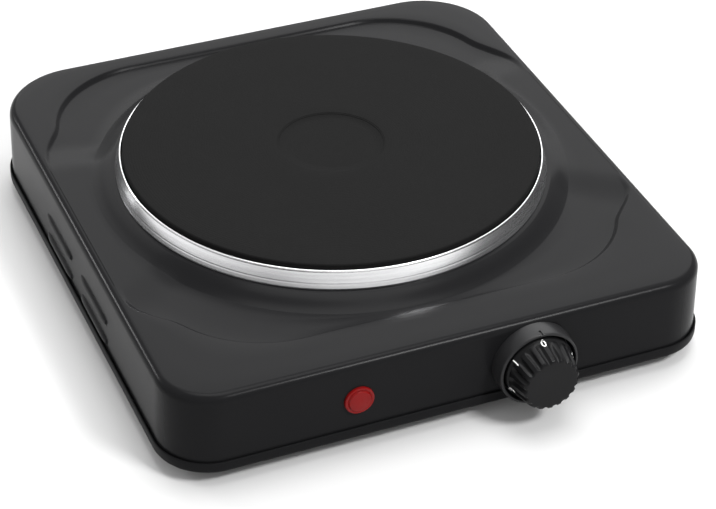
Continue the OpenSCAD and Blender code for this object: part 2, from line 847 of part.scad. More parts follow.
module lamp_lens() {
    color([0.6, 0.06, 0.06]) in_frame() translate([-lamp_x, -wall_hd, lamp_h])
        rotate([90, 0, 0]) rotate_extrude() polygon([
            [0, lens_t + 0.9], [lens_r * 0.45, lens_t + 0.75], [lens_r * 0.8, lens_t + 0.2],
            [lens_r - 0.3, lens_t - 0.2], [lens_r, lens_t - 0.7], [lens_r, 0],
            [barrel_r, 0], [barrel_r, -barrel_l], [barrel_r - lens_wall, -barrel_l],
            [barrel_r - lens_wall, -0.2], [0, 0.2]]);
}

module lamp_clip() {
    color([0.75, 0.75, 0.76]) in_frame() translate([-lamp_x, 0, lamp_h])
        ring_y(barrel_r + 2.6, barrel_r, front_in, front_in + 0.8);
}

module lamp_plug() {
    y1 = -wall_hd + barrel_l;
    color([0.85, 0.85, 0.82]) in_frame() translate([-lamp_x, 0, lamp_h]) difference() {
        union() {
            rod_y(barrel_r - lens_wall, y1 - 3, y1 + eps);
            rod_y(barrel_r, y1, y1 + 1.5);
        }
        for (s = [-1, 1]) translate([s * 2, 0, 0])
            rod_y(wire_r + fit_gap, y1 - 4, y1 + 3);
    }
}

module neon_bulb() {
    y1 = -wall_hd + barrel_l - 3;
    color([0.95, 0.75, 0.6]) in_frame() translate([-lamp_x, 0, lamp_h]) {
        rod_y(neon_r, y1 - 9, y1);
        translate([0, y1 - 9, 0]) sphere(r = neon_r, $fn = 32);
    }
}

// ---- cord entry and mains terminals ------------------------------------

module cord_gland() {
    color([0.1, 0.1, 0.1]) in_frame() translate([gland_x, 0, gland_h]) difference() {
        union() {
            rod_y(gland_r, back_in - gland_in, wall_hd + gland_reach - 1);
            rod_y(gland_r - 0.7, wall_hd + 1, wall_hd + gland_reach);
            rod_y(gland_flange_r, wall_hd, wall_hd + gland_flange_t);
        }
        rod_y(gland_bore_r, back_in - gland_in - 1, wall_hd + gland_reach + 1);
    }
}

module gland_nut() {
    color([0.15, 0.15, 0.15]) in_frame() translate([gland_x, back_in, gland_h])
        rotate([90, 0, 0]) hex_nut(gland_r + 2, gland_r, 0, gland_nut_t);
}

way_x = [for (k = [-1, 0, 1]) strip_x + k * way_pitch];

module terminal_strip() {
    color([0.9, 0.9, 0.86]) in_frame() difference() {
        block(strip_x - strip_l / 2, strip_x + strip_l / 2, strip_y - strip_w / 2,
            strip_y + strip_w / 2, floor_z, floor_z + strip_h);
        for (x = way_x) {
            translate([x, 0, floor_z + 5])
                rod_y(wire_r + fit_gap, strip_y - strip_w, strip_y + strip_w);
            for (s = [-1, 1]) translate([x, strip_y + s * 5, 0])
                rod_z(screw_r, floor_z + 7, deep);
        }
    }
}

module terminal_screws() {
    color([0.78, 0.65, 0.35]) in_frame()
        for (x = way_x, s = [-1, 1]) translate([x, strip_y + s * 5, 0])
            rod_z(screw_r, floor_z + 7, floor_z + strip_h - 1);
}

module earth_tag() {
    color([0.8, 0.75, 0.5]) in_frame() difference() {
        block(earth_x - 4, earth_x + 4, earth_y - 10, earth_y + 4,
            floor_z, floor_z + 0.8);
        translate([earth_x, earth_y, 0]) rod_z(screw_r + fit_gap, 0, deep);
    }
}

module earth_screw() {
    color([0.75, 0.7, 0.45]) in_frame() translate([earth_x, earth_y, 0]) {
        rod_z(screw_r, floor_z, floor_z + 1);
        rod_z(screw_head_r, floor_z + 0.8, floor_z + 0.8 + screw_head_t);
    }
}

// ---- wires, clipped inside the base ------------------------------------

low = floor_z + 3;
way_z = floor_z + 5;
strip_in = strip_y - strip_w / 2 + 3;     // a wire's end inside its way
strip_out = strip_in - 6;
strip_off = strip_in - 9;
block_z = well_z - cover_t - block_h;
block_near = block_z - near_gap;
block_mid = block_y + plate_y;
plate_end = block_mid - block_l / 2 + 4;

module live_wire() {
    color([0.45, 0.25, 0.12]) in_frame() wire([
        [way_x[1], strip_in, way_z], [way_x[1], strip_out, way_z],
        [way_x[1], strip_off, way_z], [76, 48, low],
        [94, 34, low], [100, 0, low], [100, -50, low], [88, guide_y + 23, low],
        [64, guide_y + 7, knob_h - 6], [bracket_x1 + 5.5, guide_y + 6, knob_h - 4],
        [bracket_x1 + 5.5, guide_y + bracket_t + insulator_t + arm_t + wire_r + 0.1,
            knob_h]]);
}

module neutral_wire() {
    color([0.15, 0.3, 0.6]) in_frame() wire([
        [way_x[0], strip_in, way_z], [way_x[0], strip_out, way_z],
        [way_x[0], strip_off, way_z], [69, 53, low], [84, 28, low],
        [88, 0, low], [86, -26, low], [74, -52, low + 4], [40, -78, block_z - 6],
        [14, plate_end - 1, block_z - 7], [10, plate_end + 3, block_z - 4],
        [10, plate_end + 3, block_near]]);
}

module switched_wire() {
    color([0.35, 0.35, 0.35]) in_frame() wire([
        [stack_x0 + 3, arm_y + 4.1, knob_h - 4], [stack_x0 + 3, arm_y + 9, knob_h - 5],
        [4, guide_y + 25, 24], [-8, block_mid - 11, block_z - 7], [-10, block_mid + 7, block_z - 5],
        [-10, block_mid + 10, block_near]]);
}

module earth_wire() {
    tag_top = floor_z + 0.8 + wire_r + 0.1;
    color([0.35, 0.55, 0.2]) in_frame() wire([
        [way_x[2], strip_in, way_z], [way_x[2], strip_out, way_z],
        [way_x[2], strip_off, way_z], [78, 58, low],
        [86, 54, low], [earth_x, 53, tag_top], [earth_x, 59, tag_top]]);
}

module lamp_wire(s) {
    y0 = -wall_hd + barrel_l - 2;
    color([0.75, 0.3, 0.2]) in_frame() wire([
        [s * 2 - lamp_x, y0, lamp_h], [s * 2 - lamp_x, y0 + 3, lamp_h],
        [s * 2 - lamp_x, y0 + 6, lamp_h], [s * 2 - lamp_x, y0 + 9, lamp_h],
        [s * 3 - 30, y0 + 18, 20 + s], [s * 3 - 12, y0 + 24, 18 + s],
        [s * 3 + 2, y0 + 22, 17 + s], [s * 3 + 8, y0 + 19, 18 + s]]);
}

module lamp_wire_left() {
    lamp_wire(-1);
}

module lamp_wire_right() {
    lamp_wire(1);
}

housing();
base_tray();
rubber_feet();
foot_screws();
corner_posts();
hot_plate();
trim_ring();
heating_element();
insulation();
plate_cover();
centre_stud();
clamp_bridge();
stud_washer();
stud_nut();
heat_shield();
shield_rivets();
plate_terminals();
thermal_cutout();
thermostat_bracket();
shaft_bush();
bush_nut();
control_shaft();
plunger();
contact_arm();
arm_pin();
ceramic_stack();
fixed_contact();
contact_insulator();
bimetal_strip();
knob();
knob_clip();
bezel_ring();
lamp_lens();
lamp_clip();
lamp_plug();
neon_bulb();
cord_gland();
gland_nut();
terminal_strip();
terminal_screws();
earth_screw();
earth_tag();
live_wire();
neutral_wire();
switched_wire();
earth_wire();
lamp_wire_left();
lamp_wire_right();
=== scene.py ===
import json
import math

import bmesh
import bpy
from mathutils import Matrix, Vector


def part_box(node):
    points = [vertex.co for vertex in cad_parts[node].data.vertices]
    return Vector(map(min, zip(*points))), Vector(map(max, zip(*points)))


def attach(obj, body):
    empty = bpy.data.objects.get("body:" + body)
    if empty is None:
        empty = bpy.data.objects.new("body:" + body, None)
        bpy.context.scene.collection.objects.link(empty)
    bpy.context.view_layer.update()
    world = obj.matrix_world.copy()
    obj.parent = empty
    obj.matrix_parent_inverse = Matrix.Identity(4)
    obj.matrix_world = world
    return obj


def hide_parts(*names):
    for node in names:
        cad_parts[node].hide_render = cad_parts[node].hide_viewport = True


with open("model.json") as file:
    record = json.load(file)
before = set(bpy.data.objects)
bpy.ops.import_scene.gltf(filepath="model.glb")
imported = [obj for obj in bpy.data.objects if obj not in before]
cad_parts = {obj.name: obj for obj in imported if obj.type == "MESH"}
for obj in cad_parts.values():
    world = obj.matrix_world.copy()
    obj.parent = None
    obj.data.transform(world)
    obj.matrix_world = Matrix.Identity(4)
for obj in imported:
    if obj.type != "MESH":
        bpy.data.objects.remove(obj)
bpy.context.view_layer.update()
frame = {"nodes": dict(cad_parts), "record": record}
MM = 0.001

# ---- sizes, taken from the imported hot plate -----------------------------

tray_low, tray_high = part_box("base_tray")
shell_low, shell_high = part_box("housing")
plate_low, plate_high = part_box("hot_plate")
ring_low, ring_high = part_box("trim_ring")
bezel_low, bezel_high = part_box("bezel_ring")
knob_low, knob_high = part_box("knob")
lens_low, lens_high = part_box("lamp_lens")
gland_low, gland_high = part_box("cord_gland")

MIDDLE = Vector((0, (tray_low.y + tray_high.y) / 2, 0))
PLATE_MIDDLE = Vector((0, (plate_low.y + plate_high.y) / 2, 0))
PLATE_BACK = PLATE_MIDDLE.y - MIDDLE.y
RIM_Z = tray_low.z
LIP_TOP = tray_high.z
SHEET = 0.8 * MM                       # thickness of the pressed steel
SEAM = 0.3 * MM                        # gap between the housing's wall and the tray's lip
WALL_HD = (shell_high.y - shell_low.y) / 2
WALL_HW = (tray_high.x - tray_low.x) / 2 - SHEET - SEAM
WALL_FOOT = shell_low.z
COLLAR_Z = shell_high.z
COLLAR_RISE = 2.4 * MM
TOP_Z = COLLAR_Z - COLLAR_RISE
SIDE_LEAN = 0.8 * MM                   # how far the side walls lean in at the top
TOP_HW = WALL_HW - SIDE_LEAN
EDGE_R = 4 * MM
FRONT_R = 22.9 * MM                    # corner radii of the walls, front and back
BACK_R = 34.9 * MM

# The pressed step round the field: its line, its width and how deep it drops
STEP_DROP = 2 * MM
STEP_W = 2.9 * MM
STEP_OUTSET = 0.6 * MM
STEP_CORNER_R = 50 * MM
STEP_FROM_SIDE = 15.9 * MM
STEP_FLARE = 10.7 * MM
STEP_FROM_COLLAR_FRONT = 4.6 * MM
STEP_FROM_COLLAR_BACK = 7.4 * MM
FLARE_FADES = (25, 39)                 # from and to, in degrees away from sideways
DROP_GROWS = (21, 33)

PLATE_R = (plate_high.x - plate_low.x) / 2
PLATE_TOP = plate_high.z
RING_TOP = ring_high.z
RING_BASE_R = (ring_high.x - ring_low.x) / 2
COLLAR_TOP_R = RING_BASE_R + 1.4 * MM
COLLAR_FOOT_R = COLLAR_TOP_R + 9 * MM
PLATE_HOLE_R = PLATE_R - 4 * MM

KNOB_X = (knob_low.x + knob_high.x) / 2
KNOB_Z = (knob_low.z + knob_high.z) / 2
FRONT_Y = shell_low.y
SKIRT_R = (knob_high.x - knob_low.x) / 2
BEZEL_R = (bezel_high.x - bezel_low.x) / 2
BEZEL_FRONT = bezel_low.y
LENS_X = (lens_low.x + lens_high.x) / 2
LENS_Z = (lens_low.z + lens_high.z) / 2
LENS_R = (lens_high.x - lens_low.x) / 2
GLAND_X = (gland_low.x + gland_high.x) / 2
GLAND_Z = (gland_low.z + gland_high.z) / 2

SHAFT_HOLE_R = 5.1 * MM
LENS_HOLE_R = LENS_R - 1.0 * MM
GLAND_HOLE_R = 6.4 * MM
SCREW_HOLE_R = 1.7 * MM


# ---- small helpers ------------------------------------------------------

def linear(colour):
    """An sRGB hex colour as linear red, green, blue and alpha."""
    parts = [int(colour[i:i + 2], 16) / 255 for i in (1, 3, 5)]
    return [c / 12.92 if c <= 0.04045 else ((c + 0.055) / 1.055) ** 2.4
            for c in parts] + [1.0]


def smooth_step(low, high, value):
    """Rises from 0 at low to 1 at high, level at both ends."""
    u = min(1.0, max(0.0, (value - low) / (high - low)))
    return u * u * (3 - 2 * u)


def add_node(tree, kind, inputs=(), **settings):
    """Adds a node and sets its properties and inputs. An input takes a value,
    or the output socket that it is linked to."""
    node = tree.nodes.new(kind)
    for name, value in settings.items():
        if hasattr(node, name):
            setattr(node, name, value)
        else:
            node.inputs[name.replace("_", " ")].default_value = value
    for socket, source in dict(inputs).items():
        if isinstance(source, bpy.types.NodeSocket):
            tree.links.new(source, node.inputs[socket])
        else:
            node.inputs[socket].default_value = source
    return node


def loose_mesh(name, verts, faces):
    """A bare closed mesh, to be dressed later or used as a cutting tool."""
    mesh = bpy.data.meshes.new(name)
    mesh.from_pydata([tuple(v) for v in verts], [], faces)
    work = bmesh.new()
    work.from_mesh(mesh)
    bmesh.ops.recalc_face_normals(work, faces=work.faces)
    work.to_mesh(mesh)
    work.free()
    piece = bpy.data.objects.new(name, mesh)
    bpy.context.scene.collection.objects.link(piece)
    return piece


def box_tool(x_range, y_range, z_range):
    """A block between two values along each axis."""
    corners = [(x, y, z) for x in x_range for y in y_range for z in z_range]
    return loose_mesh("box_tool", corners, [(0, 1, 3, 2), (4, 6, 7, 5), (0, 4, 5, 1),
                                            (2, 3, 7, 6), (0, 2, 6, 4), (1, 5, 7, 3)])


def round_tool(centre, low, high, radius, axis, count):
    """A rod from low to high along an axis through centre."""
    return loose_mesh("round_tool", *lathe(
        [(0, low), (radius, low), (radius, high), (0, high)], centre, axis, count))


def join_or_cut(piece, tool, operation):
    """Joins the tool to the piece, or cuts it away, and uses the tool up."""
    change = piece.modifiers.new("work", "BOOLEAN")
    change.operation = operation
    change.object = tool
    change.solver = "EXACT"
    bpy.context.view_layer.update()
    result = bpy.data.meshes.new_from_object(
        piece.evaluated_get(bpy.context.evaluated_depsgraph_get()))
    piece.modifiers.clear()
    piece.data = result
    bpy.data.objects.remove(tool)


def dress(piece, body, material, cad=(), sharp=35):
    """Gives a piece its normals, shading, finish and body."""
    work = bmesh.new()
    work.from_mesh(piece.data)
    bmesh.ops.recalc_face_normals(work, faces=work.faces)
    limit = math.radians(sharp)
    for edge in work.edges:
        edge.smooth = len(edge.link_faces) == 2 and edge.calc_face_angle() < limit
    for face in work.faces:
        face.smooth = True
    work.to_mesh(piece.data)
    work.free()
    piece.data.materials.clear()
    piece.data.materials.append(material)
    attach(piece, body)
    if cad:
        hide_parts(*cad)


def ring_faces(count, loops, closed):
    """Quads between loops of equal length; closed joins the last to the first."""
    faces = []
    for j in range(loops if closed else loops - 1):
        a, b = j * count, ((j + 1) % loops) * count
        for i in range(count):
            k = (i + 1) % count
            faces.append((a + i, a + k, b + k, b + i))
    return faces


def skin(rows, count):
    """Faces between rows of point numbers; a row of one point is a tip."""
    faces = []
    for a, b in zip(rows, rows[1:]):
        if len(a) == 1 and len(b) == 1:
            continue
        for i in range(count):
            k = (i + 1) % count
            corners = [a[i % len(a)], a[k % len(a)], b[k % len(b)], b[i % len(b)]]
            faces.append([c for n, c in enumerate(corners) if c not in corners[:n]])
    return faces


def lathe(profile, centre, axis, count):
    """Turns a closed (radius, along) profile round an axis through centre."""
    verts = []
    rows = []
    for radius, along in profile:
        row = []
        steps = 1 if radius < 1e-7 else count
        for i in range(steps):
            a = 2 * math.pi * i / count
            if axis == "z":
                v = Vector((radius * math.cos(a), radius * math.sin(a), along))
            else:
                v = Vector((radius * math.cos(a), along, radius * math.sin(a)))
            row.append(len(verts))
            verts.append(centre + v)
        rows.append(row)
    return verts, skin(rows + rows[:1], count)


def arc(cx, cy, radius, start, end, steps):
    """Points on an arc, angles in degrees."""
    points = []
    for i in range(steps + 1):
        a = math.radians(start + (end - start) * i / steps)
        points.append((cx + radius * math.cos(a), cy + radius * math.sin(a)))
    return points


# ---- materials ----------------------------------------------------------

def new_material(name, **finish):
    """A material with its shader's own sockets set, and the object's own space."""
    material = bpy.data.materials.new(name)
    material.use_nodes = True
    tree = material.node_tree
    tree.nodes.clear()
    surface = add_node(tree, "ShaderNodeBsdfPrincipled", **finish)
    output = add_node(tree, "ShaderNodeOutputMaterial",
                      {"Surface": surface.outputs["BSDF"]})
    output.is_active_output = True
    place = add_node(tree, "ShaderNodeTexCoord").outputs["Object"]
    return material, tree, surface, place


def grained(name, colour, shade, roughness, spread, grain_mm, relief_mm,
            metallic=0.0, specular=0.5, stretch=(1, 1, 1), blotch_mm=40):
    """A finish whose colour and gloss drift in broad patches and whose relief is
    a grain of a real size. shade is the second colour of the patches."""
    material, tree, surface, place = new_material(name, Metallic=metallic,
                                                  Specular_IOR_Level=specular)
    spot = add_node(tree, "ShaderNodeMapping", {"Vector": place}, Scale=stretch)
    patches = add_node(tree, "ShaderNodeTexNoise", {"Vector": spot.outputs[0]},
                       Scale=1 / (blotch_mm * MM), Detail=4.0, Roughness=0.6)
    grain = add_node(tree, "ShaderNodeTexNoise", {"Vector": spot.outputs[0]},
                     Scale=1 / (grain_mm * MM), Detail=3.0, Roughness=0.55)
    tint = add_node(tree, "ShaderNodeMix", {"Factor": patches.outputs["Fac"],
                                            6: linear(colour), 7: linear(shade)},
                    data_type="RGBA")
    tree.links.new(tint.outputs[2], surface.inputs["Base Color"])
    gloss = add_node(tree, "ShaderNodeMapRange", {"Value": patches.outputs["Fac"]},
                     To_Min=roughness - spread, To_Max=roughness + spread)
    tree.links.new(gloss.outputs["Result"], surface.inputs["Roughness"])
    relief = add_node(tree, "ShaderNodeBump", {"Height": grain.outputs["Fac"]},
                      Strength=1.0, Distance=relief_mm * MM)
    tree.links.new(relief.outputs["Normal"], surface.inputs["Normal"])
    return material


# Stove enamel sprayed on pressed steel: a satin skin with a fine orange peel,
# drawn 1.4 mm wide, so that broad lights spread and edges catch a soft line.
enamel = grained("sprayed stove enamel", "#181819", "#151516", 0.24, 0.03, 1.4, 0.003,
                 specular=0.05, blotch_mm=70)

# The same enamel, thinner and duller, on the tray underneath.
tray_paint = grained("tray stove enamel", "#161617", "#131314", 0.42, 0.05, 1.4, 0.006,
                     specular=0.05, blotch_mm=60)

# Cast iron under a baked heat-proof coat: a dry, sandy black. Sand grain of
# about 0.3 mm is drawn at 0.9 mm so that it shows.
def cast_iron():
    material, tree, surface, place = new_material("coated cast iron",
                                                  Specular_IOR_Level=0.03)
    sand = add_node(tree, "ShaderNodeTexNoise", {"Vector": place},
                    Scale=1 / (0.9 * MM), Detail=4.0, Roughness=0.7)
    cloud = add_node(tree, "ShaderNodeTexNoise", {"Vector": place},
                     Scale=1 / (26 * MM), Detail=5.0, Roughness=0.62)
    tint = add_node(tree, "ShaderNodeMix", {"Factor": cloud.outputs["Fac"],
                                            6: linear("#090909"), 7: linear("#0f0f0f")},
                    data_type="RGBA")
    speck = add_node(tree, "ShaderNodeMix", {"Factor": sand.outputs["Fac"],
                                             6: tint.outputs[2], 7: linear("#1b1b1b")},
                     data_type="RGBA")
    tree.links.new(speck.outputs[2], surface.inputs["Base Color"])
    gloss = add_node(tree, "ShaderNodeMapRange", {"Value": sand.outputs["Fac"]},
                     To_Min=0.52, To_Max=0.74)
    tree.links.new(gloss.outputs["Result"], surface.inputs["Roughness"])
    # Faint rings left by facing the casting on a lathe, 1.2 mm apart
    from_middle = add_node(tree, "ShaderNodeVectorMath",
                           {0: place, 1: (PLATE_MIDDLE.x, PLATE_MIDDLE.y, PLATE_TOP)},
                           operation="SUBTRACT")
    turned = add_node(tree, "ShaderNodeTexWave", {"Vector": from_middle.outputs[0]},
                      wave_type="RINGS", rings_direction="Z",
                      Scale=0.314 / (1.2 * MM), Distortion=0.6)
    both = add_node(tree, "ShaderNodeMath", {0: turned.outputs["Fac"], 1: 0.16,
                                             2: sand.outputs["Fac"]},
                    operation="MULTIPLY_ADD")
    relief = add_node(tree, "ShaderNodeBump", {"Height": both.outputs[0]},
                      Strength=1.0, Distance=0.12 * MM)
    tree.links.new(relief.outputs["Normal"], surface.inputs["Normal"])
    return material


# Stainless strip, rolled and polished: nearly a mirror, with streaks that run
# along the strip and so round the ring.
polished_strip = grained("polished stainless strip", "#f4f4f5", "#dcdcde", 0.22, 0.06,
                         2.4, 0.003, metallic=1.0, stretch=(0.2, 0.2, 9),
                         blotch_mm=9)

# Phenolic plastic, moulded in a satin tool: black, with a fine even haze.
phenolic = grained("moulded black phenolic", "#121213", "#0e0e0f", 0.30, 0.05,
                   0.8, 0.006, specular=0.12, blotch_mm=9)
# The same moulding powder in a dark grey, with a slightly coarser haze.
bezel_plastic = grained("moulded grey phenolic", "#242425", "#1e1e1f", 0.36, 0.05,
                        0.8, 0.008, specular=0.2, blotch_mm=12)

# Pad-printed white ink on the knob's skirt: dead matt and slightly uneven.
white_ink = grained("pad printed white ink", "#f2f2f0", "#e4e4e2", 0.62, 0.05,
                    0.4, 0.004, blotch_mm=3)

# Zinc plate on steel strip: grey with pale crystal patches.
zinc = grained("zinc plated strip", "#b4b6ba", "#9c9fa4", 0.38, 0.08, 3.0, 0.01,
               metallic=1.0, blotch_mm=6)
# Free-cutting steel, turned and left bright: a cleaner, sharper shine.
bright_steel = grained("turned bright steel", "#c4c5c8", "#b2b3b6", 0.26, 0.05,
                       0.5, 0.006, metallic=1.0, stretch=(1, 6, 1), blotch_mm=8)
# Brass strip, stamped: warm yellow, a little dulled by handling.
brass = grained("stamped brass", "#c79a4e", "#b58a44", 0.30, 0.06, 0.6, 0.008,
                metallic=1.0, blotch_mm=8)
# Phosphor bronze, rolled hard for springs: redder than the brass, and satin.
bronze = grained("phosphor bronze strip", "#b8774a", "#a4693f", 0.34, 0.06, 0.6,
                 0.006, metallic=1.0, blotch_mm=8)
# Resistance wire after its first heating: a brown-grey oxide skin, rough.
oxidised_wire = grained("oxidised resistance wire", "#6b6259", "#544c45", 0.6, 0.08,
                        0.8, 0.03, metallic=0.7, blotch_mm=10)
# Steatite, pressed and fired: chalky white with a faint grain.
steatite = grained("fired steatite", "#e9e4d8", "#ded8ca", 0.66, 0.06, 0.7, 0.02,
                   blotch_mm=9)
# Magnesia powder pressed round the heater: off-white, dry and crumbly.
magnesia = grained("pressed magnesia", "#dcd6c6", "#cdc6b4", 0.85, 0.05, 1.2, 0.06,
                   blotch_mm=14)
# Natural rubber, moulded: dark, dry and a little dusty.
rubber = grained("moulded black rubber", "#1c1c1c", "#232322", 0.7, 0.08, 0.9, 0.03,
                 blotch_mm=8)
# Nylon, moulded and left with its natural soft sheen, dyed black or plain.
black_nylon = grained("moulded black nylon", "#161617", "#1b1b1c", 0.42, 0.05, 0.7,
                      0.01, blotch_mm=8)
white_nylon = grained("moulded natural nylon", "#dddcd2", "#d2d1c6", 0.44, 0.05,
                      0.8, 0.01, blotch_mm=9)
# Flexible vinyl on copper: smooth and slightly waxy, one colour a wire.
vinyl = {slot: grained(f"vinyl wire cover {slot}", hue, dark, 0.38, 0.05, 1.5, 0.01,
                       blotch_mm=12)
         for slot, hue, dark in (("brown_cover", "#6b3f22", "#5e361c"),
                                 ("blue_cover", "#2c5fa8", "#254f90"),
                                 ("grey_cover", "#5a5a5a", "#4d4d4d"),
                                 ("green_cover", "#6f9a2b", "#5f8724"),
                                 ("red_cover", "#b0332a", "#9a2a22"))}


def clear_red_plastic():
    """Polystyrene dyed red and moulded thin: light gets in, tints and glows back
    out, and the polished face keeps a small sharp highlight."""
    material, tree, surface, place = new_material(
        "moulded clear red polystyrene", IOR=1.59, Specular_IOR_Level=0.1,
        Roughness=0.22, Transmission_Weight=0.05)
    swirl = add_node(tree, "ShaderNodeTexNoise", {"Vector": place},
                     Scale=1 / (5 * MM), Detail=2.0)
    tint = add_node(tree, "ShaderNodeMix", {"Factor": swirl.outputs["Fac"],
                                            6: linear("#7a0d0c"), 7: linear("#6c0a0a")},
                    data_type="RGBA")
    tree.links.new(tint.outputs[2], surface.inputs["Base Color"])
    return material


def bulb_glass():
    """Soda glass, blown thin round the neon electrodes."""
    material, tree, surface, place = new_material(
        "blown soda glass", IOR=1.5, Roughness=0.06, Transmission_Weight=0.8)
    cloud = add_node(tree, "ShaderNodeTexNoise", {"Vector": place},
                     Scale=1 / (3 * MM))
    tint = add_node(tree, "ShaderNodeMix", {"Factor": cloud.outputs["Fac"],
                                            6: linear("#f3d9c4"), 7: linear("#e8c7ad")},
                    data_type="RGBA")
    tree.links.new(tint.outputs[2], surface.inputs["Base Color"])
    return material


iron = cast_iron()
red_plastic = clear_red_plastic()

FINISH_OF_SLOT = {
    "black_enamel": enamel, "tray_paint": tray_paint, "cast_iron": iron,
    "polished_steel": polished_strip, "zinc_steel": zinc,
    "bright_steel": bright_steel, "knob_plastic": phenolic,
    "bezel_plastic": bezel_plastic, "red_lens": red_plastic,
    "white_ceramic": steatite, "mineral_fill": magnesia,
    "resistance_wire": oxidised_wire, "brass": brass, "bronze_spring": bronze,
    "rubber": rubber, "black_nylon": black_nylon, "white_nylon": white_nylon,
    "lamp_glass": bulb_glass(), **vinyl}


def dress_cad_pieces():
    """Every carried-over node gets the finish of its slot in the record."""
    for row in frame["record"]["subparts"]:
        piece = frame["nodes"][row["node"]]
        piece.data.materials.clear()
        piece.data.materials.append(FINISH_OF_SLOT[row["material_slot"]])


# ---- housing: one pressed sheet, drawn loop by loop ---------------------

def lean_of(t):
    """Degrees from straight sideways (0) to straight forwards or back (90)."""
    return math.degrees(math.atan2(abs(math.sin(t)), abs(math.cos(t))))


def rounded_reach(t, hw, hd, r):
    """From the middle to a rounded rectangle's edge, in direction t."""
    c, s = abs(math.cos(t)), abs(math.sin(t))
    if hw * s <= (hd - r) * c:
        return hw / c
    if hd * c <= (hw - r) * s:
        return hd / s
    along = (hw - r) * c + (hd - r) * s
    across = (hw - r) * s - (hd - r) * c
    return along + math.sqrt(max(0.0, r * r - across * across))


def wall_reach(t, hw, hd, inset):
    """As rounded_reach, with this body's own front and back corners."""
    r = (FRONT_R if math.sin(t) < 0 else BACK_R) - inset
    return rounded_reach(t, hw - inset, hd - inset, r)


def step_reach(t):
    """The pressed step's upper line: it sweeps outward towards the sides."""
    flare = STEP_FLARE * (1 - smooth_step(*FLARE_FADES, lean_of(t)))
    if math.sin(t) < 0:
        clear = STEP_FROM_COLLAR_FRONT - PLATE_BACK
    else:
        clear = STEP_FROM_COLLAR_BACK + PLATE_BACK
    return rounded_reach(t, WALL_HW - STEP_FROM_SIDE + flare, COLLAR_FOOT_R + clear,
                         STEP_CORNER_R)


def directions():
    """Angles round the housing, closest together at the corners."""
    quarter = []
    for low, high, count in ((0, 36, 26), (36, 60, 40), (60, 90, 22)):
        quarter += [low + (high - low) * i / count for i in range(count)]
    half = quarter + [90] + [180 - q for q in reversed(quarter[1:])]
    return [math.radians(a) for a in half] + [math.radians(a + 180) for a in half]


TURN = directions()


def at(t, reach, z, middle=MIDDLE):
    """The point that lies reach from the middle in direction t, at height z."""
    return middle + Vector((reach * math.cos(t), reach * math.sin(t), z))


def wall_and_edge(depth):
    """Loops up the side walls and over the rounded top edge."""
    loops = []
    rises = 7
    for k in range(rises):
        z = WALL_FOOT + (TOP_Z - EDGE_R - WALL_FOOT) * k / rises
        hw = WALL_HW - SIDE_LEAN * k / rises
        loops.append([at(t, wall_reach(t, hw, WALL_HD, depth), z) for t in TURN])
    r = EDGE_R - depth
    for k in range(9):
        a = math.radians(k * 90 / 8)
        inset = depth + r * (1 - math.cos(a))
        z = TOP_Z - EDGE_R + r * math.sin(a)
        loops.append([at(t, wall_reach(t, TOP_HW, WALL_HD, inset), z) for t in TURN])
    return loops


def border_and_step(depth):
    """Loops over the flat border, then down the rounded step to the field."""
    loops = []
    for share in (0.33, 0.66):
        loops.append([at(t, (1 - share) * wall_reach(t, TOP_HW, WALL_HD, EDGE_R)
                         + share * (step_reach(t) + STEP_OUTSET), TOP_Z - depth)
                      for t in TURN])
    for k in range(11):
        fall = STEP_DROP * smooth_step(0, 1, k / 10)
        loops.append([at(t, step_reach(t) + STEP_OUTSET - STEP_W * k / 10,
                         TOP_Z - depth - fall * smooth_step(*DROP_GROWS, lean_of(t)))
                      for t in TURN])
    return loops


def field_and_collar(depth):
    """Loops over the field, level at the sides and dished towards the collar,
    then up the collar's wide soft foot and rounded shoulder to the plate's hole."""
    field = [TOP_Z - STEP_DROP * smooth_step(*DROP_GROWS, lean_of(t)) for t in TURN]
    foot = [at(t, COLLAR_FOOT_R, 0, PLATE_MIDDLE) for t in TURN]
    loops = []
    for share in (0.35, 0.7):
        loops.append([at(t, step_reach(t) + STEP_OUTSET - STEP_W, 0).lerp(toe, share)
                      + Vector((0, 0, z - depth)) for t, z, toe in zip(TURN, field, foot)])
    for k in range(15):
        share = k / 14
        lift = share - 0.024 * math.sin(2 * math.pi * share)
        reach = COLLAR_FOOT_R + (COLLAR_TOP_R - COLLAR_FOOT_R) * share - depth / 2
        loops.append([at(t, reach, z + (COLLAR_Z - z) * lift - depth, PLATE_MIDDLE)
                      for t, z in zip(TURN, field)])
    loops.append([at(t, PLATE_HOLE_R, COLLAR_Z - depth, PLATE_MIDDLE) for t in TURN])
    return loops


def pressed_surface(depth):
    """Loops from the wall's foot in to the plate's opening, depth under the skin."""
    return wall_and_edge(depth) + border_and_step(depth) + field_and_collar(depth)


LOUVRE_L = 40 * MM
LOUVRE_R = 3.2 * MM
LOUVRE_BULGE = 1.2 * MM
LOUVRE_PITCH = 49.5 * MM
LOUVRE_MIDDLE = MIDDLE.y - 2 * MM
LOUVRE_ROWS = (LIP_TOP + 3.3 * MM, LIP_TOP + 13.5 * MM)


def louvre_places():
    """The side, x, y and z of each louvre's middle, on the leaning side walls."""
    for side in (-1, 1):
        for z in LOUVRE_ROWS:
            lean = SIDE_LEAN * (z - WALL_FOOT) / (TOP_Z - WALL_FOOT)
            for k in (-0.5, 0.5):
                yield side, side * (WALL_HW - lean), LOUVRE_MIDDLE + k * LOUVRE_PITCH, z


